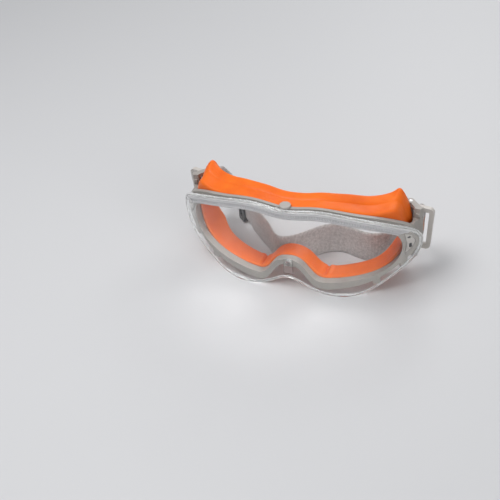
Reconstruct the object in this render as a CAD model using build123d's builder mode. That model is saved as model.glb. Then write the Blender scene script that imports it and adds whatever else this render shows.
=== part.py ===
from build123d import *
from math import sin, cos, radians, sqrt
import os

os.makedirs("parts", exist_ok=True)

# Safety goggles, standing upright on the lens's two lower lobes and on the edge of the strap.
# +X is the viewer's right, the lens faces -Y, +Z is up. All sizes in millimetres.

# ---- driving dimensions ----
front_radius = 144.0  # plan radius of the lens in front of the eyes
side_radius = 53.0  # plan radius where the lens wraps round the temples
front_angle = 27.0  # half angle of the front arc, degrees
side_angle = 72.0  # angle at which the wrap stops, degrees
lens_thick = 2.2
frame_front = 3.0  # depth of the frame's front face behind the lens's outer face
frame_mid = 5.1  # depth of the top rail's back face
frame_back = 8.1  # depth of the lower channel's back face
seal_gap = 0.3
seal_rear_y = 21.0  # rim of the seal at the centre
face_radius = 97.0  # plan radius of the face that the seal meets
horn_y = 44.8  # where the seal's upper corners end
hinge_x = 70.5
hinge_y = 48.0
hinge_z = 36.5
hinge_lean = 5.0  # the yokes lean outward at the top, degrees
pin_radius = 1.1
pin_fit = 0.05
yoke_reach = 16.5
yoke_height = 34.0
yoke_thick = 3.0
left_swing = 20.0  # how far the left yoke is swung back at rest, degrees
strap_width = 25.0
strap_thick = 1.6


# the row's origin is under the middle of the whole assembly, which is drawn with the lens at y = 0
middle_y = 39.15
row = Location((0, -middle_y, 0))
# plans are drawn below the lens, so that they cut right through
floor_plane = Plane.XY.offset(-6)


def wrap_point(depth, angle):
    """Point of the plan curve at a depth behind the lens's outer face."""
    centre_r = front_radius - side_radius
    turn = radians(front_angle)
    a = radians(angle)
    if abs(angle) <= front_angle:
        return ((front_radius - depth) * sin(a), front_radius - (front_radius - depth) * cos(a))
    side = 1 if angle > 0 else -1
    x = side * centre_r * sin(turn) + (side_radius - depth) * sin(a)
    y = front_radius - centre_r * cos(turn) - (side_radius - depth) * cos(a)
    return (x, y)


def wrap_arcs(depth):
    """The three arcs of the plan curve, inside an open BuildLine."""
    edge = (front_angle + side_angle) / 2
    ends = (-side_angle, -edge, -front_angle, 0, front_angle, edge, side_angle)
    p = [wrap_point(depth, a) for a in ends]
    ThreePointArc(p[0], p[1], p[2])
    ThreePointArc(p[2], p[3], p[4])
    ThreePointArc(p[4], p[5], p[6])


def plan_band(front, back):
    """Plan of the wrap between two depths."""
    with BuildSketch(floor_plane) as band:
        with BuildLine():
            wrap_arcs(front)
            wrap_arcs(back)
            for angle in (-side_angle, side_angle):
                Line(wrap_point(front, angle), wrap_point(back, angle))
        make_face()
    return band.sketch


def seal_plan(front):
    """Plan of the seal: the lens's wrap in front, the face's tighter curve behind."""
    with BuildSketch(floor_plane) as plan:
        with BuildLine():
            wrap_arcs(front)
            left = wrap_point(front, -side_angle)
            right = wrap_point(front, side_angle)
            Polyline(right, (right[0], 90), (left[0], 90), left)
        make_face()
        with Locations((0, seal_rear_y + face_radius)):
            Circle(face_radius, mode=Mode.SUBTRACT)
        with Locations((0, horn_y)):
            Rectangle(240, 120, align=(Align.CENTER, Align.MIN), mode=Mode.SUBTRACT)
    return plan.sketch


def outline(right_half):
    """Closed front outline through points from the nose round the right temple to the brow."""
    left_half = [(-x, z) for x, z in reversed(right_half) if x > 0]
    with BuildSketch(Plane.XZ) as face:
        with BuildLine():
            Spline(*right_half, *left_half, periodic=True)
        make_face()
    return face.sketch


# front outlines, from the nose at the bottom round the right temple to the brow
lens_edge = outline([
    (0, 13.5), (12.6, 7.9), (24, 2.6), (40.3, 0.25), (59, 8.4), (72.6, 19.4),
    (81.2, 28.2), (84.2, 37), (81.6, 46.2), (73, 53.9), (46, 64.8), (19, 70.2), (0, 68.7),
])
frame_outer = outline([
    (0, 23.2), (8.4, 18.8), (14.4, 9.8), (20.4, 5.0), (26, 4.4), (38, 6.0), (58, 13),
    (70.6, 22.6), (79.2, 31), (81.8, 38), (79.6, 46.6), (72, 55.6), (46, 66.1), (19, 71.4), (0, 69.8),
])
frame_inner = outline([
    (0, 27.2), (8.6, 24.2), (15.4, 15.2), (20.6, 10.9), (26, 10.4), (39, 11.8), (60, 18.2),
    (69.6, 27), (72.4, 37), (69.4, 47.2), (46, 59.8), (19, 64.9), (0, 63.4),
])
seal_outer = outline([
    (0, 23.5), (8.8, 19.2), (15, 10.6), (20.6, 6.6), (27, 6.0), (40, 7.6), (60, 14.2), (70.4, 26),
    (73.8, 40), (72.6, 53), (67.0, 65.2), (58, 65.0), (42, 67.8), (19, 71.2), (0, 69.6),
])
seal_inner = outline([
    (0, 27.8), (9.4, 24.6), (16.6, 15.6), (21.6, 11.8), (28, 11.4), (41, 12.6), (59, 18.4),
    (67.4, 27.6), (70.4, 38), (68, 49.5), (58, 56.5), (40, 62.4), (19, 65.2), (0, 63.8),
])



# ---- the clear lens ----
peg_z = 24.5  # height of the peg at the nose arch
with BuildPart() as lens:
    extrude(plan_band(0, lens_thick), amount=100)
    extrude(lens_edge, amount=100, both=True, mode=Mode.INTERSECT)
    # tongue behind the nose notch, with an eye for the frame's peg
    with BuildSketch(Plane.XZ.offset(-lens_thick + 0.2)):
        with Locations((0, 19.75)):
            Rectangle(6.6, 9.5)
        with Locations((0, peg_z)):
            Circle(3.3)
            Circle(1.95, mode=Mode.SUBTRACT)
    extrude(amount=-1.2)
lens.part.label = "lens"
export_step(lens.part.moved(row), "parts/lens.step")

# ---- ridged clear rail bonded along the top of the lens ----
with BuildPart() as lens_rail:
    for drop, tall, proud in ((0.2, 5.0, 0.8), (0.9, 0.8, 1.4), (4.0, 0.9, 1.4)):
        with BuildSketch(Plane.XZ):
            add(Pos(0, 0, -drop) * lens_edge)
            add(Pos(0, 0, -drop - tall) * lens_edge, mode=Mode.SUBTRACT)
            Rectangle(146, 100, align=(Align.CENTER, Align.MAX), mode=Mode.SUBTRACT)
            with Locations((0, 50)):
                Rectangle(220, 100, align=(Align.CENTER, Align.MAX), mode=Mode.SUBTRACT)
        ridge = extrude(amount=60, both=True, mode=Mode.PRIVATE)
        wrap = extrude(plan_band(-proud, -0.05), amount=100, mode=Mode.PRIVATE)
        add(ridge & wrap)
lens_rail.part.label = "lens_rail"
export_step(lens_rail.part.moved(row), "parts/lens_rail.step")

# ---- grey frame: top rail, lower channel and temples ----
step_z = 49.0  # above this height the seal is moulded over the back of the rail
plate_corners = ((73.6, 30.6), (77.4, 33.0), (79.6, 38), (77.6, 44.0), (73.4, 47.0), (74.6, 38))
with BuildPart() as frame:
    extrude(plan_band(frame_front, frame_back), amount=100)
    extrude(frame_outer, amount=100, both=True, mode=Mode.INTERSECT)
    extrude(frame_inner, amount=100, both=True, mode=Mode.SUBTRACT)
    rear = extrude(plan_band(frame_mid, frame_back + 1), amount=60, mode=Mode.PRIVATE)
    add(Pos(0, 0, step_z + 6) * rear, mode=Mode.SUBTRACT)
    # the temples stop short of the yokes
    with Locations((0, 44.3, 0)):
        Box(200, 40, 200, align=(Align.CENTER, Align.MIN, Align.CENTER), mode=Mode.SUBTRACT)
    # lugs under the lower lip, which the lens's edge clips past
    for angle, height in ((-24, 11.6), (24, 11.6), (-40, 22.5), (40, 22.5)):
        x, y = wrap_point(frame_front + 1.4, angle)
        with Locations(Location((x, y, height), (0, 0, angle))):
            Box(5, 2.2, 6)
    # boss on the nose arch, recessed for the lens's tongue and bored for the peg
    with Locations((0, (3.5 + frame_back) / 2, peg_z - 0.7)):
        Box(7.2, frame_back - 3.5, 5.6)
    with Locations((0, 0, peg_z - 3)):
        Box(7.6, 3.55 * 2, 16, mode=Mode.SUBTRACT)
    with Locations(Location((0, 6, peg_z), (90, 0, 0))):
        Cylinder(1.7, 30, mode=Mode.SUBTRACT)
    # blind hole for the brow stud
    with Locations((0, 4.1, 71)):
        Cylinder(0.65, 8, mode=Mode.SUBTRACT)
    # shallow pockets for the temple plates
    pocket = extrude(plan_band(frame_front - 1, frame_front + 1.3), amount=100, mode=Mode.PRIVATE)
    with BuildSketch(Plane.XZ):
        Polygon(*plate_corners, align=None)
        mirror(about=Plane.YZ)
    window = extrude(amount=90, both=True, mode=Mode.PRIVATE)
    add(pocket & window, mode=Mode.SUBTRACT)
frame.part.label = "frame"
export_step(frame.part.moved(row), "parts/frame.step")

# ---- temple plates, each with a round hole and a slot ----
with BuildPart() as temple_plate_right:
    with BuildSketch(Plane.XZ):
        Polygon(*plate_corners, align=None)
        offset(amount=-0.3)
        with Locations((75.9, 42.8)):
            Circle(1.0, mode=Mode.SUBTRACT)
        with Locations((76.6, 35.8)):
            SlotOverall(4.2, 1.7, rotation=90, mode=Mode.SUBTRACT)
    extrude(amount=90, both=True)
    wrap = extrude(plan_band(frame_front - 0.1, frame_front + 1.2), amount=100, mode=Mode.PRIVATE)
    add(wrap, mode=Mode.INTERSECT)
temple_plate_right.part.label = "temple_plate_right"
export_step(temple_plate_right.part.moved(row), "parts/temple_plate_right.step")

with BuildPart() as temple_plate_left:
    mirror(temple_plate_right.part, about=Plane.YZ)
temple_plate_left.part.label = "temple_plate_left"
export_step(temple_plate_left.part.moved(row), "parts/temple_plate_left.step")

# ---- soft face seal ----
with BuildPart() as face_seal:
    extrude(seal_plan(frame_mid + seal_gap), amount=100)
    extrude(seal_outer, amount=100, both=True, mode=Mode.INTERSECT)
    extrude(seal_inner, amount=100, both=True, mode=Mode.SUBTRACT)
    low = extrude(plan_band(frame_mid - 2, frame_back + seal_gap), amount=step_z + seal_gap + 6,
                  mode=Mode.PRIVATE)
    add(low, mode=Mode.SUBTRACT)
    with Locations((0, 7.5, peg_z - 0.5)):
        Box(8, 5.2, 9, mode=Mode.SUBTRACT)
face_seal.part.label = "face_seal"
export_step(face_seal.part.moved(row), "parts/face_seal.step")

# ---- peg at the nose and round stud at the brow ----
with BuildPart() as nose_peg:
    with Locations(Location((0, 2.5, peg_z), (-90, 0, 0))):
        Cylinder(1.65, 5.6, align=(Align.CENTER, Align.CENTER, Align.MIN))
    fillet(nose_peg.edges().sort_by(Axis.Y)[0], 0.5)
nose_peg.part.label = "nose_peg"
export_step(nose_peg.part.moved(row), "parts/nose_peg.step")

with BuildPart() as brow_stud:
    with Locations((0, 4.6, 70.1)):
        Cylinder(3.8, 1.4, align=(Align.CENTER, Align.CENTER, Align.MIN))
    fillet(brow_stud.edges().sort_by(Axis.Z)[-1], 0.6)
    with Locations((0, 4.1, 70.2)):
        Cylinder(0.6, 3, align=(Align.CENTER, Align.CENTER, Align.MAX))
brow_stud.part.label = "brow_stud"
export_step(brow_stud.part.moved(row), "parts/brow_stud.step")

# ---- right arm, yoke and pin, drawn on the leaning hinge line ----
lean = radians(hinge_lean)
hinge = Plane(origin=(hinge_x, hinge_y, hinge_z), x_dir=(cos(lean), 0, -sin(lean)),
              z_dir=(sin(lean), 0, cos(lean)))
half_h = yoke_height / 2
ear = 2.6
with BuildPart() as arm_right:
    with BuildSketch(hinge.offset(-11)):
        Polygon((4.4, -14), (12.5, -5.2), (9.6, -4), (4.4, -4), align=None)
    extrude(amount=23)
    with BuildSketch(hinge.offset(-half_h - 0.3 - ear)):
        Polygon((4.4, -7.4), (9.6, -7.4), (9.6, -4), (4.4, -4), align=None)
    extrude(amount=yoke_height + 0.6 + 2 * ear)
    for low in (-half_h - 0.3 - ear, half_h + 0.3):
        with BuildSketch(hinge.offset(low)):
            Circle(2.5)
            Polygon((0.4, -2.4), (4.4, -6.4), (8.0, -4.0), (1.0, 2.2), align=None)
            Circle(pin_radius, mode=Mode.SUBTRACT)
        extrude(amount=ear)
    # ribs down the front of the post
    for i in range(8):
        with BuildSketch(hinge.offset(-half_h + 1.2 + i * 4.3)):
            with Locations((7.6, -7.9)):
                Rectangle(4.0, 1.2)
        extrude(amount=2.0)
    wall = extrude(plan_band(-2, frame_back + 0.05), amount=100, mode=Mode.PRIVATE)
    add(wall, mode=Mode.SUBTRACT)
arm_right.part.label = "arm_right"
export_step(arm_right.part.moved(row), "parts/arm_right.step")

with BuildPart() as yoke_right:
    with BuildSketch(hinge.offset(-half_h)):
        Rectangle(yoke_reach, yoke_thick, align=(Align.MIN, Align.CENTER))
    extrude(amount=yoke_height)
    fillet(yoke_right.edges().filter_by(Axis.Y).sort_by(Axis.X)[-2:], 3.5)
    with BuildSketch(hinge.offset(-half_h)):
        Circle(2.2)
    extrude(amount=yoke_height)
    for left_edge, right_edge in ((2.4, 5.0), (8.0, 13.4)):
        with BuildSketch(hinge.offset(-half_h + 3.2)):
            with Locations((left_edge, 0)):
                Rectangle(right_edge - left_edge, 12, align=(Align.MIN, Align.CENTER))
        extrude(amount=yoke_height - 6.4, mode=Mode.SUBTRACT)
    with BuildSketch(hinge.offset(-half_h - 1)):
        Circle(pin_radius + pin_fit)
    extrude(amount=yoke_height + 2, mode=Mode.SUBTRACT)
yoke_right.part.label = "yoke_right"
export_step(yoke_right.part.moved(row), "parts/yoke_right.step")

with BuildPart() as hinge_pin_right:
    with BuildSketch(hinge.offset(-half_h - 0.3 - ear)):
        Circle(pin_radius)
    extrude(amount=yoke_height + 0.6 + 2 * ear)
hinge_pin_right.part.label = "hinge_pin_right"
export_step(hinge_pin_right.part.moved(row), "parts/hinge_pin_right.step")

# ---- sewn fold of the strap, through both slots and round the middle bar ----
fold_x = (3.85, 9.15)
fold_front = -2.65
fold_back = 5.0
turn = 1.5
with BuildPart() as strap_end_right:
    with BuildSketch(hinge.offset(-strap_width / 2)):
        with BuildLine():
            Line((fold_x[0], fold_back), (fold_x[0], fold_front + turn))
            RadiusArc((fold_x[0], fold_front + turn), (fold_x[0] + turn, fold_front), -turn)
            Line((fold_x[0] + turn, fold_front), (fold_x[1] - turn, fold_front))
            RadiusArc((fold_x[1] - turn, fold_front), (fold_x[1], fold_front + turn), -turn)
            Line((fold_x[1], fold_front + turn), (fold_x[1], fold_back))
        trace(line_width=strap_thick)
    extrude(amount=strap_width)
strap_end_right.part.label = "strap_end_right"
export_step(strap_end_right.part.moved(row), "parts/strap_end_right.step")

# ---- left side: the mirror image, its yoke swung back ----
left_axis = Axis((-hinge_x, hinge_y, hinge_z), (-sin(lean), 0, cos(lean)))
with BuildPart() as arm_left:
    mirror(arm_right.part, about=Plane.YZ)
arm_left.part.label = "arm_left"
export_step(arm_left.part.moved(row), "parts/arm_left.step")

with BuildPart() as hinge_pin_left:
    mirror(hinge_pin_right.part, about=Plane.YZ)
hinge_pin_left.part.label = "hinge_pin_left"
export_step(hinge_pin_left.part.moved(row), "parts/hinge_pin_left.step")

with BuildPart() as yoke_left:
    add(mirror(yoke_right.part, about=Plane.YZ, mode=Mode.PRIVATE).rotate(left_axis, -left_swing))
yoke_left.part.label = "yoke_left"
export_step(yoke_left.part.moved(row), "parts/yoke_left.step")

with BuildPart() as strap_end_left:
    add(mirror(strap_end_right.part, about=Plane.YZ, mode=Mode.PRIVATE).rotate(left_axis, -left_swing))
strap_end_left.part.label = "strap_end_left"
export_step(strap_end_left.part.moved(row), "parts/strap_end_left.step")

# ---- the strap, standing on its edge behind the lens in a slack wave ----
wave = [(58.8, 54.3), (56.34, 52.59), (47.3, 46.8), (38.5, 47.0), (31.5, 49.0), (22.0, 51.0),
        (12, 47.6), (0, 36.2), (-8.4, 29.6), (-15, 28.2), (-21.2, 33.4), (-26.9, 40.5),
        (-30.3, 43.84), (-33.6, 47)]
run_dir = Vector(-29.4, 29.4 * 0.955, 0).normalized()
run_length = 41.0
with BuildPart() as strap_back:
    with BuildSketch(Plane.XY):
        with BuildLine():
            Spline(*wave)
        trace(line_width=strap_thick)
    extrude(amount=strap_width)
strap_back.part.label = "strap_back"
export_step(strap_back.part.moved(row), "parts/strap_back.step")

# straight run, which climbs a little so that the slider's lower bar fits under it
run_start = Vector(-33.6, 47, 0) + run_dir * 0.05
lift = 2.9
run = Plane(origin=run_start, x_dir=run_dir, z_dir=run_dir.cross(Vector(0, 0, 1)))
with BuildPart() as strap_run:
    with BuildSketch(run.offset(-strap_thick / 2)):
        Polygon((0, 0), (17, 0), (22, lift), (run_length, lift), (run_length, lift + strap_width),
                (22, lift + strap_width), (17, strap_width), (0, strap_width), align=None)
    extrude(amount=strap_thick)
strap_run.part.label = "strap_run"
export_step(strap_run.part.moved(row), "parts/strap_run.step")

slider_at = 32.0
slider_long = 8.0
with BuildPart() as slider:
    with BuildSketch(run.offset(-2.6)):
        with Locations((slider_at, lift + strap_width / 2)):
            RectangleRounded(slider_long, strap_width + 5.4, 1.6)
    extrude(amount=5.2)
    with BuildSketch(run.offset(-strap_thick / 2 - 0.35)):
        with Locations((slider_at, lift + strap_width / 2)):
            Rectangle(slider_long + 4, strap_width + 0.7)
    extrude(amount=strap_thick + 0.7, mode=Mode.SUBTRACT)
    # windows in the two faces leave a bar at each end
    with BuildSketch(run.offset(-5)):
        with Locations((slider_at, lift + strap_width / 2)):
            Rectangle(slider_long - 4.4, strap_width - 3)
    extrude(amount=10, mode=Mode.SUBTRACT)
slider.part.label = "slider"
export_step(slider.part.moved(row), "parts/slider.step")


# ---- the leads, which climb from the table to the yokes ----
def lead(plan_points, start_dir, end_dir, climb):
    """Strip that follows a plan curve while its lower edge climbs with x."""
    upper = [(x, z + strap_width) for x, z in climb]
    with BuildPart() as strip:
        with BuildSketch(floor_plane):
            with BuildLine():
                Spline(*plan_points, tangents=(start_dir, end_dir))
            trace(line_width=strap_thick)
        extrude(amount=80)
        with BuildSketch(Plane.XZ):
            Polygon(*climb, *reversed(upper), align=None)
        extrude(amount=100, both=True, mode=Mode.INTERSECT)
    return strip.part


right_foot = hinge.from_local_coords(Vector(fold_x[1], fold_back + 0.3, 0))
foot_low = right_foot.Z - strap_width / 2
with BuildPart() as strap_lead_right:
    add(lead([(58.84, 54.33), (62.4, 58.6), (67.4, 61.6), (73, 61.2), (77.8, 57.6),
              (right_foot.X, right_foot.Y)], (0.82, 0.57), (0, -1),
             [(57, 0), (59.5, 0.3), (63, 3.2), (73, 17.5), (78, 23), (83, foot_low)]))
strap_lead_right.part.label = "strap_lead_right"
export_step(strap_lead_right.part.moved(row), "parts/strap_lead_right.step")

left_hinge = Plane(origin=(-hinge_x, hinge_y, hinge_z), x_dir=(cos(lean), 0, sin(lean)),
                   z_dir=(-sin(lean), 0, cos(lean)))
swing = radians(left_swing)
local_x = -fold_x[1] * cos(swing) + (fold_back + 0.3) * sin(swing)
local_y = fold_x[1] * sin(swing) + (fold_back + 0.3) * cos(swing)
left_foot = left_hinge.from_local_coords(Vector(local_x, local_y, 0))
run_end = run_start + run_dir * (run_length + 0.05)
left_heading = left_hinge.from_local_coords(Vector(-sin(swing), -cos(swing), 0)) - left_hinge.origin
left_across = left_hinge.from_local_coords(Vector(-cos(swing), sin(swing), 0)) - left_hinge.origin
with BuildPart() as strap_lead_left:
    for point, heading, low in (((run_end.X, run_end.Y), (run_dir.X, run_dir.Y), lift),
                                ((-69, 78.9), (-1, 0.1), 7), ((-75.2, 76.2), (-0.7, -0.8), 13),
                                ((-77.4, 69.4), (-0.15, -1), 19)):
        along = Vector(heading[0], heading[1], 0).normalized()
        upright = Plane(origin=(point[0], point[1], low + strap_width / 2),
                        x_dir=along.cross(Vector(0, 0, 1)), z_dir=along)
        with BuildSketch(upright):
            Rectangle(strap_thick, strap_width)
    with BuildSketch(Plane(origin=left_foot, x_dir=left_across, z_dir=left_heading)):
        Rectangle(strap_thick, strap_width)
    loft()
strap_lead_left.part.label = "strap_lead_left"
export_step(strap_lead_left.part.moved(row), "parts/strap_lead_left.step")
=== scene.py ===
import math

import bmesh
import bpy
import numpy as np
from mathutils import Matrix, Vector


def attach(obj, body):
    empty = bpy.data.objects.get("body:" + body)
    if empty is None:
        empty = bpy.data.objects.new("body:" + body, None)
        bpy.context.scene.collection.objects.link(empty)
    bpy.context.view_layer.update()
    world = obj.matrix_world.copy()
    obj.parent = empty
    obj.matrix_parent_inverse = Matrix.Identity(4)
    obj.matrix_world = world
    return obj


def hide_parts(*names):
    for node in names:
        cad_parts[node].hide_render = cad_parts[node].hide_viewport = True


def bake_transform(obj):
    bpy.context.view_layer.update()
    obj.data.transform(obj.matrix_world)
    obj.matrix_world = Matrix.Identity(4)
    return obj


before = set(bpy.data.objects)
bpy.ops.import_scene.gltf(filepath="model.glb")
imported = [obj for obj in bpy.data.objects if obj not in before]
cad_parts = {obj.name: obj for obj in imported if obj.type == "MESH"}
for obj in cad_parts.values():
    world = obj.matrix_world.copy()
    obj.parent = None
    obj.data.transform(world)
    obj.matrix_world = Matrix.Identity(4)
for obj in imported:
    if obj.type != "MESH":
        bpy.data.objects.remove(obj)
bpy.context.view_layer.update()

# ---------------------------------------------------------------- shared sizes, in millimetres
MM = 0.001
MIDDLE_Y = 39.15  # the drawing's y at the row's origin
FRONT_R, SIDE_R = 144.0, 53.0  # the lens's plan radii, in front and round the temples
FRONT_TURN = math.radians(27)  # half the angle of the front arc
STRAP_W, STRAP_T = 25.0, 1.6
HINGE = (70.5, 48.0, 36.5)  # the right yoke's pin
LEAN = math.radians(5)  # how far the pins lean outwards
LEFT_SWING = math.radians(20)  # the left yoke's swing at rest
ROOT = "goggle_frame"
SPLINE_STEPS = 24  # fine points on each span of a spline


def to_row(points):
    """Drawing millimetres to row metres."""
    p = np.array(points, float).reshape(-1, 3)
    return (p - np.array([0, MIDDLE_Y, 0])) * MM


def wrap_y(x, depth):
    """Y of the wrap's surface at a depth behind the lens's outer face."""
    x = np.abs(np.asarray(x, float))
    cx = (FRONT_R - SIDE_R) * math.sin(FRONT_TURN)
    cy = FRONT_R - (FRONT_R - SIDE_R) * math.cos(FRONT_TURN)
    front = FRONT_R - np.sqrt(np.maximum((FRONT_R - depth) ** 2 - x * x, 0))
    r = SIDE_R - depth
    side = cy - np.sqrt(np.maximum(r * r - (np.maximum(x, cx) - cx) ** 2, 0))
    return np.where(x <= (FRONT_R - depth) * math.sin(FRONT_TURN), front, side)


def wrap_point(s, depth):
    """Plan point at signed arc length s along the lens's outer face, moved back by depth."""
    side = np.sign(s)
    s = np.abs(s)
    first = FRONT_R * FRONT_TURN
    a = np.where(s < first, s / FRONT_R, FRONT_TURN + (s - first) / SIDE_R)
    cx = np.where(s < first, 0, (FRONT_R - SIDE_R) * math.sin(FRONT_TURN))
    cy = np.where(s < first, FRONT_R, FRONT_R - (FRONT_R - SIDE_R) * math.cos(FRONT_TURN))
    r = np.where(s < first, FRONT_R, SIDE_R) - depth
    return side * (cx + r * np.sin(a)), cy - r * np.cos(a)


def arc_of_x(x):
    """Signed arc length of the lens's outer face at x."""
    ax = np.abs(x)
    edge = FRONT_R * math.sin(FRONT_TURN)
    cx = (FRONT_R - SIDE_R) * math.sin(FRONT_TURN)
    front = FRONT_R * np.arcsin(np.minimum(ax, edge) / FRONT_R)
    side = FRONT_R * FRONT_TURN + SIDE_R * (
        np.arcsin(np.clip((ax - cx) / SIDE_R, 0, 1)) - FRONT_TURN)
    return np.sign(x) * np.where(ax <= edge, front, side)


def run_lengths(points):
    """Length along a line of points, up to each of them."""
    return np.concatenate([[0], np.cumsum(np.linalg.norm(np.diff(points, axis=0), axis=1))])


def spline(points, count, closed=False, start=None, end=None):
    """Smooth curve through points, evenly sampled along its length."""
    p = np.array(points, float)
    n = len(p)
    if closed:
        h = np.linalg.norm(np.roll(p, -1, 0) - p, axis=1)
        a = np.zeros((n, n))
        b = np.zeros_like(p)
        for i in range(n):
            hp, hn = h[i - 1], h[i]
            a[i, i - 1] += 1 / hp
            a[i, i] += 2 * (1 / hp + 1 / hn)
            a[i, (i + 1) % n] += 1 / hn
            b[i] = 3 * ((p[i] - p[i - 1]) / hp ** 2 + (p[(i + 1) % n] - p[i]) / hn ** 2)
        m = np.linalg.solve(a, b)
        segments = [(p[i], p[(i + 1) % n], m[i], m[(i + 1) % n], h[i]) for i in range(n)]
    else:
        h = np.linalg.norm(np.diff(p, axis=0), axis=1)
        a = np.zeros((n, n))
        b = np.zeros_like(p)
        for i in range(1, n - 1):
            hp, hn = h[i - 1], h[i]
            a[i, i - 1], a[i, i], a[i, i + 1] = 1 / hp, 2 * (1 / hp + 1 / hn), 1 / hn
            b[i] = 3 * ((p[i] - p[i - 1]) / hp ** 2 + (p[i + 1] - p[i]) / hn ** 2)
        for i, d, j in ((0, start, 1), (n - 1, end, n - 2)):
            if d is None:
                a[i, i], a[i, j] = 2, 1
                b[i] = 3 * (p[j] - p[i]) / h[min(i, j)] * (1 if i == 0 else -1)
            else:
                d = np.array(d, float)
                a[i, i] = 1
                b[i] = d / np.linalg.norm(d)
        m = np.linalg.solve(a, b)
        segments = [(p[i], p[i + 1], m[i], m[i + 1], h[i]) for i in range(n - 1)]
    fine = []
    for p0, p1, m0, m1, hh in segments:
        t = np.linspace(0, 1, SPLINE_STEPS, endpoint=False)[:, None]
        fine.append((2 * t**3 - 3 * t**2 + 1) * p0 + (t**3 - 2 * t**2 + t) * hh * m0
                    + (-2 * t**3 + 3 * t**2) * p1 + (t**3 - t**2) * hh * m1)
    fine = np.vstack(fine + [[segments[-1][1]]])
    run = run_lengths(fine)
    want = np.linspace(0, run[-1], count, endpoint=not closed)
    return np.stack([np.interp(want, run, fine[:, k]) for k in range(p.shape[1])], 1)


def outline(right_half, count):
    """Closed front outline, mirrored from its right half."""
    left = [(-x, z) for x, z in reversed(right_half) if x > 0]
    return spline(list(right_half) + left, count, closed=True)


# ---------------------------------------------------------------- mesh helpers
def link(name, data):
    obj = bpy.data.objects.new(name, data)
    bpy.context.scene.collection.objects.link(obj)
    return obj


def face_outwards(mesh):
    bm = bmesh.new()
    bm.from_mesh(mesh)
    bmesh.ops.recalc_face_normals(bm, faces=bm.faces)
    bm.to_mesh(mesh)
    bm.free()


def new_object(name, verts, faces, smooth=True):
    mesh = bpy.data.meshes.new(name)
    mesh.from_pydata([tuple(v) for v in verts], [], faces)
    mesh.validate()
    face_outwards(mesh)
    for poly in mesh.polygons:
        poly.use_smooth = smooth
    return link(name, mesh)


def grid_faces(rows, cols, wrap_rows=False, wrap_cols=False):
    faces = []
    for i in range(rows if wrap_rows else rows - 1):
        for j in range(cols if wrap_cols else cols - 1):
            a, b = i * cols, ((i + 1) % rows) * cols
            k = (j + 1) % cols
            faces.append((a + j, a + k, b + k, b + j))
    return faces


def loft(name, sections):
    """Closed skin through a ring of equal closed sections, an array (station, point, 3)."""
    s = np.array(sections)
    rows, cols = s.shape[:2]
    return new_object(name, to_row(s.reshape(-1, 3)), grid_faces(rows, cols, True, True))


def modifier(obj, kind, **settings):
    m = obj.modifiers.new(kind.lower(), kind)
    for key, value in settings.items():
        setattr(m, key, value)
    return m


def tube_sections(path, radius, sides):
    """Round sections along a closed 3D path, with a radius at each of its points."""
    p = np.array(path, float)
    t = np.roll(p, -1, 0) - np.roll(p, 1, 0)
    t /= np.linalg.norm(t, axis=1)[:, None]
    side = np.cross(t, np.tile([0.0, -1.0, 0.0], (len(p), 1)))
    side /= np.linalg.norm(side, axis=1)[:, None]
    up = np.cross(side, t)
    a = np.linspace(0, 2 * math.pi, sides, endpoint=False)
    r = np.asarray(radius, float)[:, None, None]
    return (p[:, None] + side[:, None] * (np.cos(a)[None, :, None] * r)
            + up[:, None] * (np.sin(a)[None, :, None] * r))


# ---------------------------------------------------------------- materials
def material(name, colour, rough, **sockets):
    """New Principled material. Other sockets are named with _ for each space."""
    mat = bpy.data.materials.new(name)
    mat.use_nodes = True
    tree = mat.node_tree
    shader = tree.nodes["Principled BSDF"]
    shader.inputs["Base Color"].default_value = (*colour, 1)
    shader.inputs["Roughness"].default_value = rough
    for key, value in sockets.items():
        shader.inputs[key.replace("_", " ")].default_value = value
    return mat, tree, shader


def add_node(tree, kind, **settings):
    node = tree.nodes.new(kind)
    for key, value in settings.items():
        setattr(node, key, value)
    return node


def coords(tree):
    return add_node(tree, "ShaderNodeTexCoord").outputs["Object"]


def grey(value):
    return (value, value, value)


def noise(tree, vector, scale, detail=4, rough=0.55):
    n = add_node(tree, "ShaderNodeTexNoise")
    n.inputs["Scale"].default_value = scale
    n.inputs["Detail"].default_value = detail
    n.inputs["Roughness"].default_value = rough
    tree.links.new(vector, n.inputs["Vector"])
    return n.outputs["Fac"]


def ramp(tree, fac, stops):
    r = add_node(tree, "ShaderNodeValToRGB")
    while len(r.color_ramp.elements) < len(stops):
        r.color_ramp.elements.new(0.5)
    for e, (pos, colour) in zip(r.color_ramp.elements, stops):
        e.position = pos
        e.color = (*colour, 1)
    tree.links.new(fac, r.inputs["Fac"])
    return r.outputs["Color"]


def math_node(tree, op, *values):
    n = add_node(tree, "ShaderNodeMath", operation=op)
    for socket, v in zip(n.inputs, values):
        if isinstance(v, (int, float)):
            socket.default_value = v
        else:
            tree.links.new(v, socket)
    return n.outputs[0]


def bump(tree, shader, height, strength, distance):
    b = add_node(tree, "ShaderNodeBump")
    b.inputs["Strength"].default_value = strength
    b.inputs["Distance"].default_value = distance
    tree.links.new(height, b.inputs["Height"])
    tree.links.new(b.outputs["Normal"], shader.inputs["Normal"])


def mix_colour(tree, fac, a, b, blend="MIX"):
    """Each of fac, a and b is a plain value or another node's output."""
    m = add_node(tree, "ShaderNodeMix", data_type="RGBA", blend_type=blend)
    for socket, v in ((m.inputs[0], fac), (m.inputs[6], a), (m.inputs[7], b)):
        if isinstance(v, (int, float)):
            socket.default_value = v
        elif isinstance(v, tuple):
            socket.default_value = (*v, 1)
        else:
            tree.links.new(v, socket)
    return m.outputs[2]


def edge_wear_and_highlight(tree, start, end, strength):
    """Strength at the mesh's sharp outer edges, falling to 0 on its flats: edge wear on the
    moulded plastics, and a painted highlight on the seal.
    """
    geo = add_node(tree, "ShaderNodeNewGeometry")
    edge = ramp(tree, geo.outputs["Pointiness"], [(start, grey(0)), (end, grey(1))])
    return math_node(tree, "MULTIPLY", edge, strength)


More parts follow.
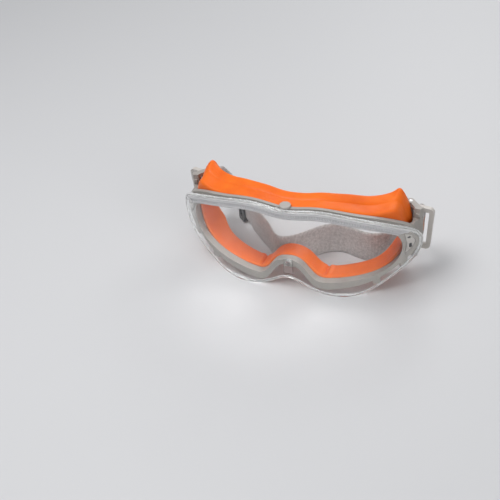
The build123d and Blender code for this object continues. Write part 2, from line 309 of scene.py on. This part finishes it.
def moulded(name, colour, rough, vary, grain=0.00004, scale=2600, wear=0.0, **sockets):
    """Moulded plastic: fine spark-eroded grain, faint flow marks and handling polish."""
    mat, tree, shader = material(name, colour, rough, **sockets)
    v = coords(tree)
    dark = tuple(c * (1 - vary) for c in colour)
    light = tuple(min(1, c * (1 + vary)) for c in colour)
    base = ramp(tree, noise(tree, v, 55, 3), [(0.3, dark), (0.7, light)])
    if wear:
        amount = edge_wear_and_highlight(tree, 0.52, 0.60, wear)
        base = mix_colour(tree, amount, base, tuple(min(1, c * 1.5 + 0.05) for c in colour))
    tree.links.new(base, shader.inputs["Base Color"])
    smear = noise(tree, v, 140, 4)
    r = ramp(tree, smear, [(0.25, grey(rough - 0.08)), (0.75, grey(rough + 0.1))])
    tree.links.new(r, shader.inputs["Roughness"])
    bump(tree, shader, noise(tree, v, scale, 2), 0.35, grain)
    return mat


def clear(name, colour, rough, ior, haze, transmission=1.0, gloss=0.5):
    """Clear plastic: handling smears make it rougher by up to haze."""
    mat, tree, shader = material(name, colour, rough, IOR=ior, Specular_IOR_Level=gloss,
                                 Transmission_Weight=transmission)
    smear = noise(tree, coords(tree), 60, 5, 0.6)
    r = ramp(tree, smear, [(0.35, grey(rough)), (0.8, grey(rough + haze))])
    tree.links.new(r, shader.inputs["Roughness"])
    return mat


GREY = (0.31, 0.288, 0.266)
lens_mat = clear("clear_lens", (0.99, 0.995, 0.995), 0.0, 1.38, 0.02, gloss=0.12)
rim_mat = clear("clear_rim", (0.95, 0.96, 0.96), 0.08, 1.45, 0.08, 0.8)
rail_mat = clear("clear_rail", (0.72, 0.71, 0.72), 0.3, 1.45, 0.12, 0.35)
teeth_mat = clear("clear_teeth", (0.93, 0.93, 0.94), 0.15, 1.45, 0.08, 0.3)
frame_mat = moulded("grey_frame", GREY, 0.42, 0.05, wear=0.25)
plate_mat = moulded("grey_plate", (0.40, 0.375, 0.355), 0.38, 0.06, wear=0.2)
yoke_mat = moulded("grey_yoke", (0.47, 0.44, 0.41), 0.40, 0.05, wear=0.25)
black_mat = moulded("black_slider", (0.018, 0.018, 0.02), 0.42, 0.25, wear=0.3)
# painted shade: near-black fill for the temple plates' openings
vent_shade_mat = moulded("vent_painted_shade", (0.02, 0.02, 0.021), 0.75, 0.3, grain=0.0001, scale=3000)
steel_mat = moulded("steel_pin", (0.55, 0.55, 0.56), 0.3, 0.05, Metallic=1.0)


def soft_orange():
    """Soft elastomer: saturated, faintly translucent, with a painted highlight on its sharp
    edges.
    """
    mat, tree, shader = material(
        "orange_seal", (0.85, 0.15, 0.01), 0.5, Specular_IOR_Level=0.3,
        Subsurface_Weight=0.12, Subsurface_Radius=(0.004, 0.0012, 0.0004), Subsurface_Scale=1.0)
    v = coords(tree)
    cloud = noise(tree, v, 45, 4)
    base = ramp(tree, cloud, [(0.3, (0.77, 0.118, 0.006)), (0.7, (0.90, 0.172, 0.010))])
    # painted highlight: the seal's sharp edges are lightened to a paler orange
    base = mix_colour(tree, edge_wear_and_highlight(tree, 0.50, 0.58, 0.35), base, (0.95, 0.27, 0.05))
    tree.links.new(base, shader.inputs["Base Color"])
    r = ramp(tree, noise(tree, v, 210, 5), [(0.3, grey(0.40)), (0.75, grey(0.58))])
    tree.links.new(r, shader.inputs["Roughness"])
    bump(tree, shader, noise(tree, v, 1800, 3), 0.3, 0.00005)
    return mat


# the webbing's knit and print, in millimetres
WALE_PITCH, COURSE_PITCH = 0.75, 0.95
BAND_HALF, DASH_HALF = 6.6, 4.0  # half widths of the orange band and of the dashes on it
DASH_PERIOD, DASH_START, DASH_SLANT = 9.0, 6.6, 0.6


def elastic(name, printed):
    """Knitted elastic webbing. U runs along the strap in millimetres, V across it."""
    ground = (0.62, 0.60, 0.58) if printed else (0.64, 0.62, 0.61)
    mat, tree, shader = material(name, ground, 0.85, Sheen_Weight=0.35, Sheen_Roughness=0.5)

    def math2(op, a, b):
        return math_node(tree, op, a, b)

    uv = add_node(tree, "ShaderNodeUVMap", uv_map="strap")
    sep = add_node(tree, "ShaderNodeSeparateXYZ")
    tree.links.new(uv.outputs["UV"], sep.inputs[0])
    u, w = sep.outputs[0], sep.outputs[1]
    # wales run along the strap and courses across it
    wale = math_node(tree, "SINE", math2("MULTIPLY", w, 2 * math.pi / WALE_PITCH))
    phase = math2("MULTIPLY", wale, 1.2)
    along = math2("MULTIPLY", u, 2 * math.pi / COURSE_PITCH)
    course = math_node(tree, "SINE", math2("ADD", along, phase))
    height = math2("ADD", math2("MULTIPLY", wale, 0.5), course)
    height = math2("ADD", math2("MULTIPLY", height, 0.33), 0.5)
    v = coords(tree)
    fuzz = noise(tree, v, 620, 6, 0.75)
    # painted shade and highlight: the knit is darker in its hollows and lighter on its loops
    base = ramp(tree, height, [(0.1, tuple(c * 0.66 for c in ground)),
                               (0.85, tuple(min(1, c * 1.18) for c in ground))])
    if printed:
        # plain centre band with a row of slanting dashes
        centred = math_node(tree, "ABSOLUTE", math2("SUBTRACT", w, STRAP_W / 2))
        band = math2("LESS_THAN", centred, BAND_HALF)
        slant = math2("ADD", u, math2("MULTIPLY", w, DASH_SLANT))
        dash = math2("GREATER_THAN", math2("PINGPONG", slant, DASH_PERIOD), DASH_START)
        mark = math2("MULTIPLY", dash, math2("LESS_THAN", centred, DASH_HALF))
        # the band's orange thread, with the same painted shade in the hollows and highlight on
        # the loops
        thread_painted_shade_and_highlight = ramp(tree, height, [(0.1, (0.5, 0.11, 0.012)), (0.85, (0.86, 0.25, 0.035))])
        base = mix_colour(tree, band, base, thread_painted_shade_and_highlight)
        base = mix_colour(tree, math2("MULTIPLY", mark, 0.85), base, (0.62, 0.60, 0.57))
    shade = ramp(tree, noise(tree, v, 38, 3), [(0.3, grey(0.86)), (0.7, grey(1.0))])
    base = mix_colour(tree, 1.0, base, shade, "MULTIPLY")
    speck = ramp(tree, fuzz, [(0.36, grey(0.55)), (0.6, grey(1.0))])
    base = mix_colour(tree, 0.8, base, speck, "MULTIPLY")
    tree.links.new(base, shader.inputs["Base Color"])
    bump(tree, shader, math2("ADD", height, math2("MULTIPLY", fuzz, 0.6)), 0.7, 0.00022)
    return mat


seal_mat = soft_orange()
inner_mat = elastic("strap_inner", printed=False)
outer_mat = elastic("strap_outer", printed=True)


def paint(obj, *mats):
    obj.data.materials.clear()
    for m in mats:
        obj.data.materials.append(m)


# ---------------------------------------------------------------- CAD nodes that stay
kept = {
    "frame": frame_mat, "temple_plate_right": plate_mat, "temple_plate_left": plate_mat,
    "arm_right": frame_mat, "arm_left": frame_mat, "brow_stud": plate_mat,
    "yoke_right": yoke_mat, "yoke_left": yoke_mat, "hinge_pin_right": steel_mat,
    "hinge_pin_left": steel_mat, "slider": black_mat, "nose_peg": rim_mat,
    "lens_rail": rail_mat,
}
for node_name, mat in kept.items():
    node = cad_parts[node_name]
    for material_slot in node.material_slots:
        material_slot.material = mat
    if node_name not in ("lens_rail", "hinge_pin_right", "hinge_pin_left"):
        modifier(node, "BEVEL", width=0.0004, segments=3, limit_method="ANGLE",
                 angle_limit=math.radians(35), harden_normals=True)

# dark plug at the bottom of each temple plate's openings, standing in for the painted shade
# inside them: centre x and z, radius and half of the straight sides
PLATE_OPENINGS = ((75.9, 42.8, 0.95, 0.0), (76.6, 35.8, 0.80, 1.25))
VENT_FRONT, VENT_BACK = 3.6, 4.2


def vent_shade_plug(name, side, points=24):
    verts, faces = [], []
    for cx, cz, radius, straight in PLATE_OPENINGS:
        a = (np.arange(points) + 0.5) * 2 * math.pi / points
        dx = radius * np.cos(a)
        dz = radius * np.sin(a) + straight * np.sign(np.sin(a))
        first = len(verts)
        for depth, share in ((VENT_BACK, 1.0), (VENT_FRONT, 1.0), (VENT_FRONT, 0.5)):
            x = cx + dx * share
            verts += list(zip(side * x, wrap_y(x, depth), cz + dz * share))
        rings = grid_faces(3, points, False, True)
        rings += [tuple(range(points)), tuple(reversed(range(2 * points, 3 * points)))]
        faces += [tuple(first + v for v in face) for face in rings]
    return new_object(name, to_row(verts), faces, smooth=False)


# near-black plugs that paint the shade inside the temple plates' openings
for side, word in ((1, "right"), (-1, "left")):
    shade_plug = vent_shade_plug(f"temple_vent_shade_{word}", side)
    paint(shade_plug, vent_shade_mat)
    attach(shade_plug, ROOT)

# ---------------------------------------------------------------- the lens
LENS_EDGE = [
    (0, 13.5), (12.6, 7.9), (24, 2.6), (40.3, 0.25), (59, 8.4), (72.6, 19.4),
    (81.2, 28.2), (84.2, 37), (81.6, 46.2), (73, 53.9), (46, 64.8), (19, 70.2), (0, 68.7),
]
LENS_THICK = 2.2
LENS_HALF = 84.0  # half width of the sheet
LENS_TIP_Z = 37.0  # height of its outermost points
edge = outline(LENS_EDGE, 360)


def edge_heights(x):
    """Lowest and highest crossing of the lens's outline at x."""
    hits = []
    for (x0, z0), (x1, z1) in zip(edge, np.roll(edge, -1, 0)):
        if (x0 - x) * (x1 - x) <= 0 and x0 != x1:
            hits.append(z0 + (z1 - z0) * (x - x0) / (x1 - x0))
    hits = hits or [LENS_TIP_Z]
    return min(hits), max(hits)


def lens_grid(name, cols=150, rows=44):
    """The lens as two skins over a grid in x and height, joined round their edge."""
    xs = LENS_HALF * np.sin(np.linspace(-math.pi / 2, math.pi / 2, cols))
    low, high = np.array([edge_heights(x) for x in xs]).T
    shares = 0.5 - 0.5 * np.cos(np.linspace(0, math.pi, rows))
    verts = []
    for depth in (0.0, LENS_THICK):
        px, py = wrap_point(arc_of_x(xs), depth)
        for k in shares:
            verts.append(np.stack([px, py, low + (high - low) * k], 1))
    front = grid_faces(rows, cols)
    back = rows * cols
    faces = front + [tuple(v + back for v in reversed(quad)) for quad in front]
    ring = (list(range(cols)) + [i * cols + cols - 1 for i in range(1, rows)]
            + [(rows - 1) * cols + j for j in range(cols - 2, -1, -1)]
            + [i * cols for i in range(rows - 2, 0, -1)])
    for a, b in zip(ring, ring[1:] + ring[:1]):
        faces.append((b, a, a + back, b + back))
    return new_object(name, to_row(np.array(verts).reshape(-1, 3)), faces)


lens_obj = lens_grid("lens_sheet")
paint(lens_obj, lens_mat)
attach(lens_obj, "lens_body")
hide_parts("lens")

# rounded rim all round the lens, thicker at the temples
RIM_DEPTH, RIM_RADIUS, RIM_TEMPLE_EXTRA = 1.15, 1.1, 0.5
RIM_LOW = 1.3  # keeps the rim off the floor
RIM_INSET = 0.004
rim_x, rim_y = wrap_point(arc_of_x(edge[:, 0]), RIM_DEPTH)
temple = np.clip((np.abs(edge[:, 0]) - 66) / 18, 0, 1)
rim_path = np.stack([rim_x * (1 - RIM_INSET), rim_y, np.maximum(edge[:, 1], RIM_LOW)], 1)
rim = tube_sections(rim_path, RIM_RADIUS + RIM_TEMPLE_EXTRA * temple, 16)
rim_obj = loft("lens_rim", rim)
paint(rim_obj, rim_mat)
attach(rim_obj, "lens_body")

# fine upright teeth between the rail's two ridges
TOOTH_PITCH, TOOTH_WIDE, TOOTH_TALL = 1.7, 0.9, 1.9
TOOTH_FOOT, TOOTH_PROUD = 0.78, 1.15  # in front of the lens's outer face
TOOTH_TIP, TOOTH_TAPER = 0.45, 0.25  # share of the width, and mm off each end
TOOTH_DROP = 2.0  # below the lens's upper edge
TEETH_RUN, TEETH_HALF = 74, 68  # how far the row may go along the arc, and in x
TOOTH_FACES = ((0, 2, 3, 1), (2, 4, 5, 3), (4, 6, 7, 5), (0, 6, 4, 2), (1, 3, 5, 7), (0, 1, 7, 6))


def rail_teeth(name):
    top = spline(LENS_EDGE[8:][::-1], 400)
    levels = ((0, TOOTH_FOOT, 1), (-TOOTH_TAPER, TOOTH_PROUD, TOOTH_TIP),
              (-TOOTH_TALL + TOOTH_TAPER, TOOTH_PROUD, TOOTH_TIP), (-TOOTH_TALL, TOOTH_FOOT, 1))
    verts, faces = [], []
    count = int(TEETH_RUN / TOOTH_PITCH)
    for k in range(-count, count + 1):
        middle = (k + 0.5) * TOOTH_PITCH
        x_mid = float(wrap_point(middle, 0)[0])
        if abs(x_mid) > TEETH_HALF:
            continue
        z_top = float(np.interp(abs(x_mid), top[:, 0], top[:, 1])) - TOOTH_DROP
        base = len(verts)
        for dz, proud, spread in levels:
            for sign in (1, -1):
                px, py = wrap_point(middle + sign * spread * TOOTH_WIDE / 2, -proud)
                verts.append((float(px), float(py), z_top + dz))
        faces += [tuple(base + v for v in quad) for quad in TOOTH_FACES]
    return new_object(name, to_row(verts), faces, smooth=False)


teeth_obj = rail_teeth("lens_rail_teeth")
modifier(teeth_obj, "BEVEL", width=0.00012, segments=2, limit_method="ANGLE")
paint(teeth_obj, teeth_mat)
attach(teeth_obj, "lens_body")

# tongue with its eye round the frame's peg
PEG_Z = 24.5
TONGUE_HALF, TONGUE_DROP = 3.3, 9.4
TONGUE_FRONT, TONGUE_BACK = 2.25, 3.2
EYE_RADIUS = 1.95


def tongue(name, points=48):
    """Plate with a round top and a square foot. Its outline pairs with the eye's circle."""
    outer, eye = [], []
    for i in range(points):
        a = 2 * math.pi * i / points + math.pi / 2
        c, d = math.cos(a), math.sin(a)
        if d >= 0:
            outer.append((TONGUE_HALF * c, PEG_Z + TONGUE_HALF * d))
        else:
            k = max(abs(c), abs(d))
            drop = TONGUE_DROP * d / k if abs(d) > 0.05 else 0
            outer.append((TONGUE_HALF * c / k, PEG_Z + drop))
        eye.append((EYE_RADIUS * c, PEG_Z + EYE_RADIUS * d))
    verts = [(x, y, z) for y, line in ((TONGUE_FRONT, eye), (TONGUE_FRONT, outer),
                                       (TONGUE_BACK, outer), (TONGUE_BACK, eye))
             for x, z in line]
    return new_object(name, to_row(verts), grid_faces(4, points, True, True), smooth=False)


tongue_obj = tongue("lens_tongue")
modifier(tongue_obj, "BEVEL", width=0.0003, segments=3, limit_method="ANGLE")
paint(tongue_obj, lens_mat)
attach(tongue_obj, "lens_body")

# light reaches the inside through the clear pieces
for piece in (lens_obj, rim_obj, tongue_obj, teeth_obj):
    piece.visible_shadow = False

# ---------------------------------------------------------------- the soft seal
SEAL_OUTER = [
    (0, 23.5), (8.8, 19.2), (15, 10.6), (20.6, 6.6), (27, 6.0), (40, 7.6), (60, 14.2),
    (70.4, 26), (73.8, 40), (72.6, 53), (67.0, 65.2), (58, 65.0), (42, 67.8), (19, 71.2),
    (0, 69.6),
]
SEAL_INNER = [
    (0, 27.8), (9.4, 24.6), (16.6, 15.6), (21.6, 11.8), (28, 11.4), (41, 12.6), (59, 18.4),
    (67.4, 27.6), (70.4, 38), (68, 49.5), (58, 56.5), (40, 62.4), (19, 65.2), (0, 63.8),
]
# section from the lens's side round the rear lip and back:
# share of the wall from inner to outer, share of the depth, outward flare in mm
SEAL_PROFILE = [
    (0.00, 0.00, 0.0), (0.00, 0.12, 0.0), (0.01, 0.30, 0.0), (0.02, 0.50, 0.0),
    (0.01, 0.70, 0.0), (0.00, 0.85, 0.0), (0.06, 0.95, 0.0), (0.25, 0.995, 0.2),
    (0.50, 1.00, 0.4), (0.80, 0.995, 0.6), (0.97, 0.97, 0.8), (1.00, 0.92, 0.8),
    (1.00, 0.82, 0.6), (1.00, 0.70, 0.3), (1.00, 0.60, 0.0), (0.985, 0.555, -0.25),
    (0.97, 0.53, -0.45), (0.96, 0.50, -0.45), (0.965, 0.40, -0.4), (0.965, 0.25, -0.3),
    (0.96, 0.10, -0.2), (0.90, 0.03, 0.0), (0.70, 0.00, 0.0), (0.35, 0.00, 0.0),
]
SEAL_FRONT, LOWER_EXTRA = 5.45, 3.0  # depth of its front, and how much deeper it is lower down
BROW_STEP_Z = 49.3  # above this height the seal comes forward over the back of the rail
FACE_R, FACE_Y, REAR_MAX = 97.0, 21, 44.6  # the face's plan curve, which the rear follows
HORN_X, HORN_Z, HORN_SPREAD = 66.6, 65.4, 9.0  # the pointed upper corners
VALLEY_X, RIDGE_X = 22.0, 24.4  # the creases beside the nose arch
MIN_LENGTH = 1e-6


def seal_rear(x):
    reach = np.minimum(np.abs(x), 80)
    return np.minimum(FACE_Y + FACE_R - np.sqrt(FACE_R ** 2 - reach ** 2), REAR_MAX)


def inner_pairs(outer):
    """For each point of the outer line the nearest of the inner one, evened out."""
    fine = outline(SEAL_INNER, 1600)
    inner = np.array([fine[int(np.argmin((fine[:, 0] - x) ** 2 + (fine[:, 1] - z) ** 2))]
                      for x, z in outer])
    for _ in range(6):
        inner = 0.5 * inner + 0.25 * (np.roll(inner, 1, 0) + np.roll(inner, -1, 0))
    return inner


def seal_point(outer, inner, out, share, deep, flare):
    (xo, zo), (xi, zi) = outer, inner
    x = xi + (xo - xi) * share + out[0] * flare
    z = zi + (zo - zi) * share + out[1] * flare
    lower = 1 / (1 + math.exp((z - BROW_STEP_Z) / 0.6))
    y0 = float(wrap_y(x, SEAL_FRONT + LOWER_EXTRA * lower))
    y1 = float(seal_rear(x))
    y = y0 + (y1 - y0) * deep
    # the upper corners rise to a point at the back
    if share > 0.2:
        horn = math.exp(-((abs(xo) - HORN_X) ** 2 + (zo - HORN_Z) ** 2) / HORN_SPREAD)
        lift = horn * max(0, deep - 0.35) / 0.65
        x -= math.copysign(1.0, x) * 0.8 * lift
        z += 2.6 * lift * share
        y += 1.0 * lift
    # the inner wall funnels in towards the face at the temples
    if share < 0.6:
        funnel = np.clip((abs(xi) - 50) / 16, 0, 1) ** 1.5 * (1 - share)
        reach = np.clip((66 - zi) / 8, 0, 1)
        x -= math.copysign(1.0, x) * 5.0 * funnel * reach * deep ** 1.3
    # creases beside the nose arch and fine waves along the rim
    if share < 0.5 and z < 30:
        fold = math.exp(-((abs(x) - VALLEY_X) / 0.9) ** 2)
        ridge = math.exp(-((abs(x) - RIDGE_X) / 1.3) ** 2)
        z += (0.7 * ridge - 1.5 * fold) * min(1, deep * 3)
    z += 0.12 * math.sin(x * 0.35 + 1.0) * deep * (1 if zo > 50 else 0.4)
    return x, y, z


def make_seal():
    outer = outline(SEAL_OUTER, 420)
    sections = []
    for outer_point, inner_point in zip(outer, inner_pairs(outer)):
        out = outer_point - inner_point
        out = out / max(np.linalg.norm(out), MIN_LENGTH)
        sections.append([seal_point(outer_point, inner_point, out, *place)
                         for place in SEAL_PROFILE])
    return loft("seal_skin", sections)


seal_obj = make_seal()
modifier(seal_obj, "SUBSURF", levels=1, render_levels=1)
paint(seal_obj, seal_mat)
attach(seal_obj, ROOT)
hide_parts("face_seal")

# ---------------------------------------------------------------- the strap
def hinge_local(x, y, z, side):
    """A point drawn on the right yoke's leaning plane, on either side."""
    c, s = math.cos(LEAN), math.sin(LEAN)
    px, py, pz = x * c + z * s, y, -x * s + z * c
    if side > 0:
        return np.array([HINGE[0] + px, HINGE[1] + py, HINGE[2] + pz])
    # mirrored, then swung back about the leaning axis
    p = Vector((-px, py, pz))
    turn = Matrix.Rotation(-LEFT_SWING, 3, Vector((-s, 0, c)))
    p = turn @ p
    return np.array([-HINGE[0] + p.x, HINGE[1] + p.y, HINGE[2] + p.z])


ACROSS_POINTS = 15  # points across each face of the strap
TURN_STATIONS = 13  # stations over which the strap turns to lie along a yoke


def ribbon_section(centre, across, up):
    """Flat section with rounded selvedges; the first half of its points is the inner face."""
    half_w, half_t = STRAP_W / 2, STRAP_T / 2
    inner = [(half_t * (1 - 0.75 * abs(k) ** 12), k * half_w)
             for k in np.linspace(-1, 1, ACROSS_POINTS)]
    outer = [(-a, b) for a, b in reversed(inner)]
    return [centre + across * a + up * b for a, b in inner + outer]


def tangents(points):
    t = np.gradient(points, axis=0)
    return t / np.linalg.norm(t, axis=1)[:, None]


def webbing(name, sections, run, start_cap=True, end_cap=True):
    """Skin through ribbon sections, with both faces' materials and UVs in millimetres."""
    s = np.array(sections)
    rows, cols = s.shape[:2]
    faces = grid_faces(rows, cols, False, True)
    if start_cap:
        faces.append(tuple(range(cols)))
    if end_cap:
        faces.append(tuple(reversed(range((rows - 1) * cols, rows * cols))))
    mesh = bpy.data.meshes.new(name)
    mesh.from_pydata([tuple(v) for v in to_row(s.reshape(-1, 3))], [], faces)
    obj = link(name, mesh)
    paint(obj, inner_mat, outer_mat)
    width_at = np.concatenate([np.linspace(0, STRAP_W, ACROSS_POINTS),
                               np.linspace(STRAP_W, 0, ACROSS_POINTS)])
    uv = mesh.uv_layers.new(name="strap")
    for poly in mesh.polygons:
        poly.use_smooth = True
        corners = [(k, mesh.loops[k].vertex_index) for k in poly.loop_indices]
        inner = max(v % cols for _, v in corners) < ACROSS_POINTS
        poly.material_index = 0 if inner else 1
        for k, v in corners:
            uv.data[k].uv = (run[v // cols], width_at[v % cols])
    face_outwards(mesh)
    return obj


def strap_piece(name, path, lows, start=None, end=None, u0=0.0):
    """Standing strip over plan points, lows the height of the lower edge at each.

    start and end, where given, are the directions up and across on that end's yoke.
    """
    headings = tangents(path)
    last = len(path) - 1
    sections = []
    for i, ((x, y), (tx, ty)) in enumerate(zip(path, headings)):
        across = np.array([-ty, tx, 0.0])  # left of travel, which is the inner face
        up = np.array([0.0, 0.0, 1.0])
        for yoke, steps in ((end, last - i), (start, i)):
            if yoke:
                k = np.clip((TURN_STATIONS - steps) / TURN_STATIONS, 0, 1)
                up = up * (1 - k) + yoke[0] * k
                across = across * (1 - k) + yoke[1] * k
        up /= np.linalg.norm(up)
        across /= np.linalg.norm(across)
        centre = np.array([x, y, lows[i] + STRAP_W / 2])
        sections.append(ribbon_section(centre, across, up))
    run = u0 + run_lengths(path)
    return webbing(name, sections, run, start is not None, end is not None), run[-1]


# the fold round a yoke's middle bar, in the yoke's own plan: both runs' x, the front and
# back ends' y, and the radius at the two front corners
FOLD_X, FOLD_FRONT, FOLD_BACK, FOLD_TURN = (3.85, 9.15), -2.65, 5.0, 1.5
FOLD_GAP = 0.1  # between the fold's end and the strap's


def yoke_foot(side):
    """Where the strap meets its fold, and the directions up and across there."""
    place, above, outside = (
        hinge_local(FOLD_X[1] + dx, FOLD_BACK + FOLD_GAP, dz, side)
        for dx, dz in ((0, 0), (0, 10), (10, 0)))
    return place, ((above - place) / 10, -(outside - place) / 10)


# one path from the right yoke to the left, travelling towards -X
right_foot, right_yoke = yoke_foot(1)
left_foot, left_yoke = yoke_foot(-1)
run_dir = np.array([-1.0, 0.955]) / math.hypot(1, 0.955)  # the straight run under the slider
run_start = np.array([-33.6, 47.0])
PATH = [
    tuple(right_foot[:2]), (77.8, 57.6), (73, 61.2), (67.4, 61.6), (62.4, 58.6), (58.8, 54.3),
    (47.3, 46.8), (38.5, 47.0), (31.5, 49.0), (22.0, 51.0), (12, 47.6), (0, 36.2),
    (-8.4, 29.6), (-15, 28.2), (-21.2, 33.4), (-26.9, 40.5), (-33.6, 47),
    tuple(run_start + run_dir * 14), tuple(run_start + run_dir * 28),
    tuple(run_start + run_dir * 41), (-69, 78.9), (-75.2, 76.2), (-77.4, 69.4),
    tuple(left_foot[:2]),
]
right_low = right_foot[2] - STRAP_W / 2
left_low = left_foot[2] - STRAP_W / 2
left_heading = -np.array([math.sin(LEFT_SWING), math.cos(LEFT_SWING)])
whole = spline(PATH, 420, start=(0, 1), end=left_heading)


def low_edge(points):
    """Height of the lower edge: on the floor in the middle, and rising to both yokes."""
    x, y = points.T
    right = np.interp(x, [57, 59.5, 63, 73, 77.5, right_foot[0]],
                      [0, 0.3, 3.2, 17.5, 22.4, right_low])
    left = np.interp((points - run_start) @ run_dir, [17, 22], [0, 2.9])
    climb = np.interp(-x, [62.5, 66, 70.5, 74.5, 77.3], [2.9, 4.6, 8.6, 14.5, left_low])
    # down the last stretch x hardly changes, so the climb goes on with y
    late = np.interp(-y, [-77.5, -70, -60, -56], [12.5, 19, left_low - 0.3, left_low])
    climb = np.where(x < -74.5, late, climb)
    z = np.where(x > 57, right, np.where(x < -62.5, climb, np.where(x < -33, left, 0.0)))
    for _ in range(5):
        z[1:-1] = 0.5 * z[1:-1] + 0.25 * (z[:-2] + z[2:])
    return z


lows = low_edge(whole)
# the two halves meet at the bend behind the nose; the left leg's points there don't count
SPLIT_X, LEG_Y, FAR = -15, 40, 99
split = int(np.argmin(np.abs(whole[:, 0] - SPLIT_X) + (whole[:, 1] > LEG_Y) * FAR))
right_strap, right_len = strap_piece(
    "strap_right_half", whole[:split + 1], lows[:split + 1], start=right_yoke)
left_strap, left_len = strap_piece(
    "strap_left_half", whole[split:], lows[split:], end=left_yoke, u0=right_len)
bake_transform(right_strap)
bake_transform(left_strap)
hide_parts("strap_back", "strap_lead_right")
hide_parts("strap_run", "strap_lead_left")


def fold_piece(name, side, u0):
    """Sewn loop of strap through both slots of a yoke, round its middle bar."""
    x0, x1 = FOLD_X
    r = FOLD_TURN
    quarter = [math.radians(90 * k / 6) for k in range(7)]
    path = [(x1, FOLD_BACK), (x1, 3.0), (x1, 1.0), (x1, FOLD_FRONT + r)]
    path += [(x1 - r + r * math.cos(a), FOLD_FRONT + r - r * math.sin(a)) for a in quarter[1:]]
    path += [(x0 + r - r * math.sin(a), FOLD_FRONT + r - r * math.cos(a)) for a in quarter]
    path = np.array(path + [(x0, 1.0), (x0, 3.0), (x0, FOLD_BACK)])
    up = np.array([0, 0, 1.0])
    sections = []
    for (x, y), (tx, ty) in zip(path, tangents(path)):
        # the inner face of the strap is the one that touches the bar
        ribbon = ribbon_section(np.zeros(3), np.array([ty, -tx, 0]), up)
        sections.append([hinge_local(x + dx, y + dy, z, side) for dx, dy, z in ribbon])
    return webbing(name, sections, u0 - side * run_lengths(path))


for side, word in ((1, "right"), (-1, "left")):
    fold = fold_piece(f"strap_fold_{word}", side, 0.0 if side > 0 else left_len)
    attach(fold, f"yoke_{word}_body")
    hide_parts(f"strap_end_{word}")

# ---------------------------------------------------------------- floor, light and camera
floor_mesh = bpy.data.meshes.new("floor")
floor_mesh.from_pydata([(-3, -3, 0), (3, -3, 0), (3, 3, 0), (-3, 3, 0)], [], [(0, 1, 2, 3)])
floor = link("floor", floor_mesh)
paint(floor, material("floor_pale", (0.60, 0.60, 0.61), 0.5)[0])

bpy.context.scene.view_settings.view_transform = "Standard"
world = bpy.data.worlds.new("studio")
bpy.context.scene.world = world
world.use_nodes = True
sky = world.node_tree.nodes["Background"].inputs
sky["Color"].default_value = (0.85, 0.88, 0.92, 1)
sky["Strength"].default_value = 0.30


def area_light(name, place, aim, size, power):
    data = bpy.data.lights.new(name, "AREA")
    data.shape = "RECTANGLE"
    data.size, data.size_y = size
    data.energy = power
    light = link(name, data)
    light.location = place
    light.rotation_mode = "QUATERNION"
    light.rotation_quaternion = (Vector(place) - Vector(aim)).to_track_quat("Z", "Y")


area_light("key", (-0.25, -0.15, 0.75), (0, 0, 0.03), (0.5, 0.4), 4.6)
area_light("fill", (0.7, -0.5, 0.45), (0, 0, 0.03), (0.5, 0.5), 2.3)
area_light("back", (0.1, 0.75, 0.5), (0, 0, 0.04), (0.6, 0.3), 2.4)

# camera: azimuth and elevation of the view, a little roll, long lens
AZ, EL, ROLL = math.radians(23.46), math.radians(39.187), math.radians(-5.633)
TARGET, DISTANCE = Vector((-0.03696, -0.0129, 0.00852)), 0.87694
back = Vector((math.sin(AZ) * math.cos(EL), -math.cos(AZ) * math.cos(EL), math.sin(EL)))
side = Vector((0, 0, 1)).cross(back).normalized()
up = back.cross(side)
cam_x = side * math.cos(ROLL) + up * math.sin(ROLL)
cam_y = -side * math.sin(ROLL) + up * math.cos(ROLL)
cam_data = bpy.data.cameras.new("camera")
cam_data.lens = 90.5
cam_data.sensor_width = 36
cam = link("camera", cam_data)
rotation = Matrix((cam_x, cam_y, back)).transposed()
cam.matrix_world = Matrix.Translation(TARGET + back * DISTANCE) @ rotation.to_4x4()
bpy.context.scene.camera = cam
